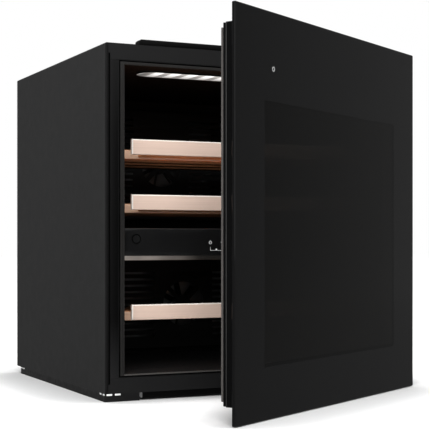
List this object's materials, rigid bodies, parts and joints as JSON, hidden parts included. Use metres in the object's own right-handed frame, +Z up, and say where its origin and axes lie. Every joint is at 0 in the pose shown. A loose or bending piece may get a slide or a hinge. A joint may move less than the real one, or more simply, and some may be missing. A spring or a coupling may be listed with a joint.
{
  "type": "wine cooler",
  "caption": "Built-in dual-zone wine cooler: insulated steel case with wooden sliding shelves, a centre control panel and a full-height dark glass door hinged on the right.",
  "frame": {"origin": "middle of the base tray's underside, on the floor", "axes": "+X to the right seen from the front, +Y to the back, +Z up"},
  "size_m": [0.5773, 0.8468, 0.594],
  "materials": {
    "case_steel": "satin dark grey paint",
    "front_band": "satin black paint",
    "jamb_plastic": "satin black",
    "liner_plastic": "fine moulded texture",
    "foam": "rigid foam",
    "sheet_steel": "galvanised and painted",
    "base_plastic": "fine moulded texture",
    "panel_gloss": "gloss black",
    "circuit_board": "solder resist",
    "light_lens": "frosted",
    "shelf_wood": "oiled beech",
    "slat_wood": "oiled beech",
    "evaporator_alloy": "rolled",
    "fan_plastic": "moulded",
    "compressor_paint": "satin black",
    "rubber": "soft grey",
    "drain_plastic": "smooth",
    "copper": "drawn tube",
    "steel_parts": "zinc plated",
    "door_glass": "black printed border round a smoked window",
    "inner_glass": "clear",
    "door_frame": "satin black",
    "spacer_alloy": "black anodised",
    "bush_plastic": "smooth"
  },
  "bodies": {
    "cabinet": {"back_panel": "sheet_steel", "base_tray": "base_plastic", "bottom_plate": "sheet_steel", "bottom_strip": "base_plastic", "ceiling_light": "light_lens", "compressor": "compressor_paint", "compressor_grommets": "rubber", "condenser_coil": "copper", "condenser_shroud": "base_plastic", "control_board": "circuit_board", "control_panel": "panel_gloss", "divider_light": "light_lens", "drain_tube": "drain_plastic", "drip_tray": "base_plastic", "dryer": "copper", "front_bottom_rail": "front_band", "front_top_rail": "front_band", "hinge_screws": "steel_parts", "inner_liner": "liner_plastic", "insulation_foam": "foam", "jamb_strips": "jamb_plastic", "led_board": "circuit_board", "lower_duct_cover": "liner_plastic", "lower_evaporator": "evaporator_alloy", "lower_fan_motor": "base_plastic", "lower_hinge_bracket": "steel_parts", "lower_hinge_pin": "steel_parts", "machine_bay_panel": "sheet_steel", "machine_plate": "sheet_steel", "outer_wrapper": "case_steel", "panel_caps": "panel_gloss", "power_inlet": "base_plastic", "rear_cover": "sheet_steel", "rear_cover_screws": "steel_parts", "refrigerant_pipes": "copper", "shelf_runners": "liner_plastic", "temperature_sensors": "liner_plastic", "top_strip": "base_plastic", "upper_duct_cover": "liner_plastic", "upper_evaporator": "evaporator_alloy", "upper_fan_motor": "base_plastic", "upper_hinge_bracket": "steel_parts", "upper_hinge_pin": "steel_parts", "zone_divider": "liner_plastic"},
    "door": {"door_glass": "door_glass", "door_frame": "door_frame", "inner_pane": "inner_glass", "pane_spacer": "spacer_alloy", "door_trim": "door_frame", "door_gasket": "rubber", "hinge_bushes": "bush_plastic"},
    "shelf_1": {"shelf_1_front_board": "shelf_wood", "shelf_1_frame": "slat_wood"},
    "shelf_2": {"shelf_2_front_board": "shelf_wood", "shelf_2_frame": "slat_wood"},
    "shelf_3": {"shelf_3_front_board": "shelf_wood", "shelf_3_frame": "slat_wood"},
    "upper_fan": {"upper_fan_rotor": "fan_plastic"},
    "lower_fan": {"lower_fan_rotor": "fan_plastic"},
    "condenser_fan": {"condenser_fan_rotor": "fan_plastic"}
  },
  "joints": [
    {"name": "door_hinge", "type": "hinge", "parent": "cabinet", "child": "door", "pos_m": [0.27, -0.282, 0.2975], "axis": [0, 0, 1], "range_deg": [-31.32, 63.68]},
    {"name": "shelf_1_slide", "type": "slide", "parent": "cabinet", "child": "shelf_1", "axis": [0, -1, 0], "range_m": [0, 0.042]},
    {"name": "shelf_2_slide", "type": "slide", "parent": "cabinet", "child": "shelf_2", "axis": [0, -1, 0], "range_m": [0, 0.042]},
    {"name": "shelf_3_slide", "type": "slide", "parent": "cabinet", "child": "shelf_3", "axis": [0, -1, 0], "range_m": [0, 0.042]},
    {"name": "upper_fan_spin", "type": "hinge", "parent": "cabinet", "child": "upper_fan", "pos_m": [0, 0.172, 0.41425], "axis": [0, 1, 0], "continuous": true},
    {"name": "lower_fan_spin", "type": "hinge", "parent": "cabinet", "child": "lower_fan", "pos_m": [0, 0.06, 0.13965], "axis": [0, 1, 0], "continuous": true},
    {"name": "condenser_fan_spin", "type": "hinge", "parent": "cabinet", "child": "condenser_fan", "pos_m": [0.165, 0.16, 0.11], "axis": [0, 1, 0], "continuous": true}
  ]
}
